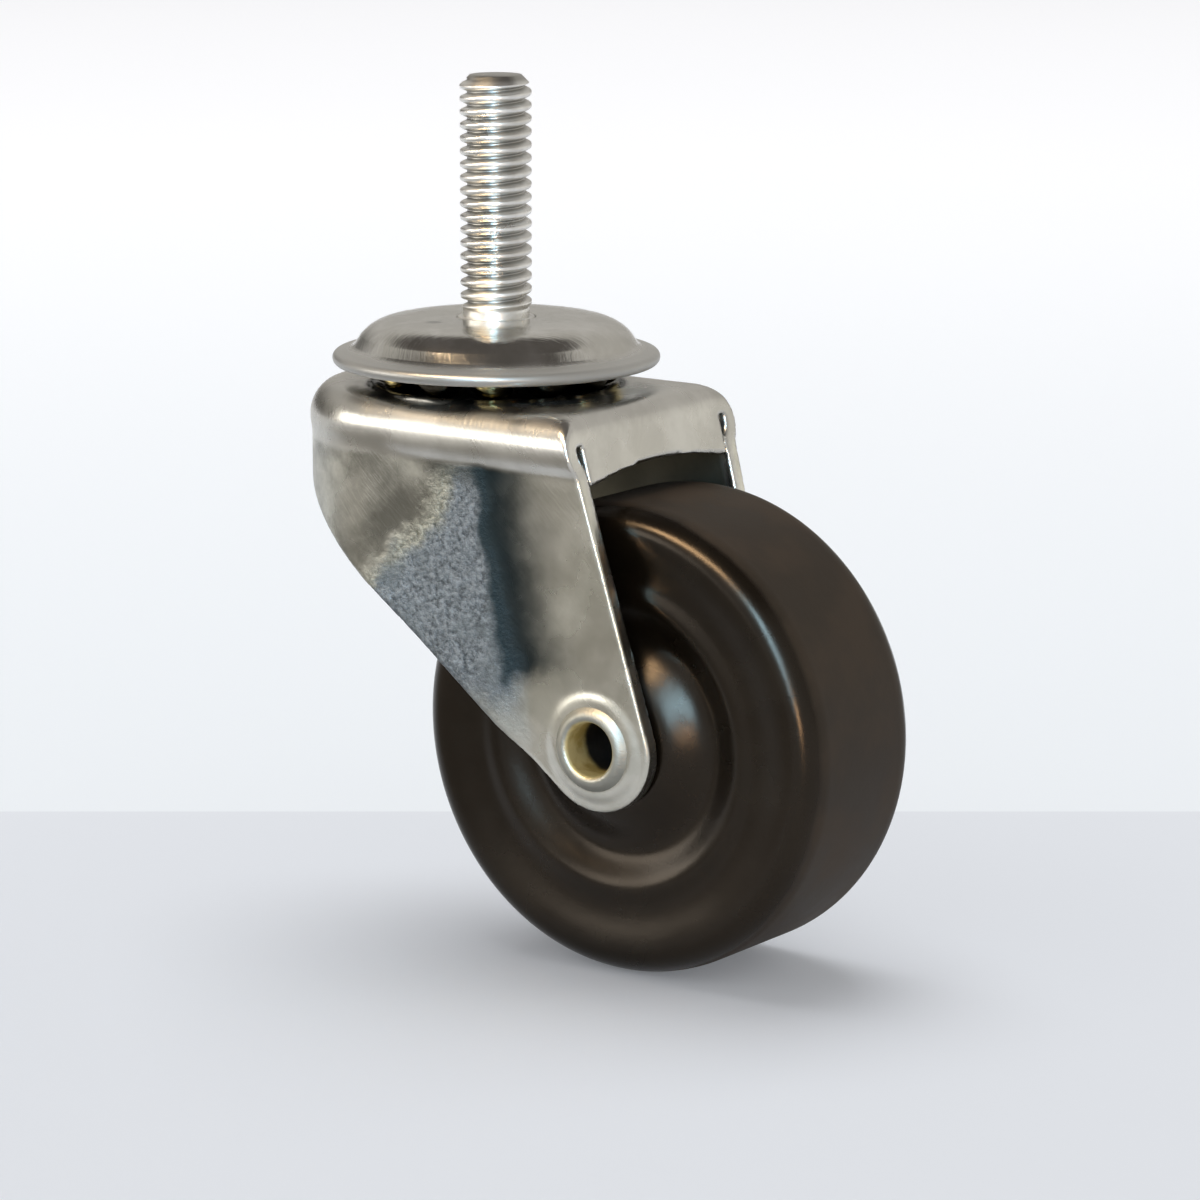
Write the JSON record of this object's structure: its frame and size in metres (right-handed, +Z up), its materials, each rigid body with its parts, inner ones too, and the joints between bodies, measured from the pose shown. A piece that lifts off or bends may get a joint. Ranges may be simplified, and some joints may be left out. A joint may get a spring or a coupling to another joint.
{
  "type": "stem castor",
  "caption": "Light swivel castor: a threaded stem and a round cap over a ball race carry a pressed fork that trails a hard rubber wheel.",
  "frame": {"origin": "on the swivel axis, in the plane of the cap's flat top where the stem starts", "axes": "+Z up along the stem; +X the way the wheel trails at rest; +Y along the axle"},
  "size_m": [0.0696, 0.0356, 0.0937],
  "materials": {
    "bright_steel": "turned and zinc plated",
    "plated_sheet": "pressed sheet with a bright plating, mottled in the draw of the legs",
    "brassed_steel": "plated, yellow in the bore",
    "hard_rubber": "moulded, satin faces and a duller tread",
    "ball_steel": "polished and greased"
  },
  "bodies": {
    "stem": {"threaded_stem": "bright_steel", "top_cap": "plated_sheet", "lower_race": "plated_sheet"},
    "ball_ring": {"race_ball_01": "ball_steel", "race_ball_02": "ball_steel", "race_ball_03": "ball_steel", "race_ball_04": "ball_steel", "race_ball_05": "ball_steel", "race_ball_06": "ball_steel", "race_ball_07": "ball_steel", "race_ball_08": "ball_steel", "race_ball_09": "ball_steel", "race_ball_10": "ball_steel", "race_ball_11": "ball_steel", "race_ball_12": "ball_steel"},
    "lower_ball_ring": {"lower_ball_01": "ball_steel", "lower_ball_02": "ball_steel", "lower_ball_03": "ball_steel", "lower_ball_04": "ball_steel", "lower_ball_05": "ball_steel", "lower_ball_06": "ball_steel", "lower_ball_07": "ball_steel", "lower_ball_08": "ball_steel", "lower_ball_09": "ball_steel", "lower_ball_10": "ball_steel", "lower_ball_11": "ball_steel", "lower_ball_12": "ball_steel", "lower_ball_13": "ball_steel"},
    "fork": {"fork": "plated_sheet", "axle_rivet": "brassed_steel", "axle_bush": "bright_steel"},
    "wheel": {"wheel": "hard_rubber"}
  },
  "joints": [
    {"name": "swivel", "type": "hinge", "parent": "stem", "child": "fork", "pos_m": [0, 0, 0], "axis": [0, 0, 1], "continuous": true},
    {"name": "ball_orbit", "type": "hinge", "parent": "stem", "child": "ball_ring", "pos_m": [0, 0, 0], "axis": [0, 0, 1], "continuous": true},
    {"name": "lower_ball_orbit", "type": "hinge", "parent": "stem", "child": "lower_ball_ring", "pos_m": [0, 0, 0], "axis": [0, 0, 1], "continuous": true},
    {"name": "wheel_spin", "type": "hinge", "parent": "fork", "child": "wheel", "pos_m": [0.0226, 0, -0.04231], "axis": [0, 1, 0], "continuous": true}
  ],
  "couplings": [
    {"joint": "ball_orbit", "follows": "swivel", "ratio": 0.5},
    {"joint": "lower_ball_orbit", "follows": "swivel", "ratio": 0.5}
  ]
}
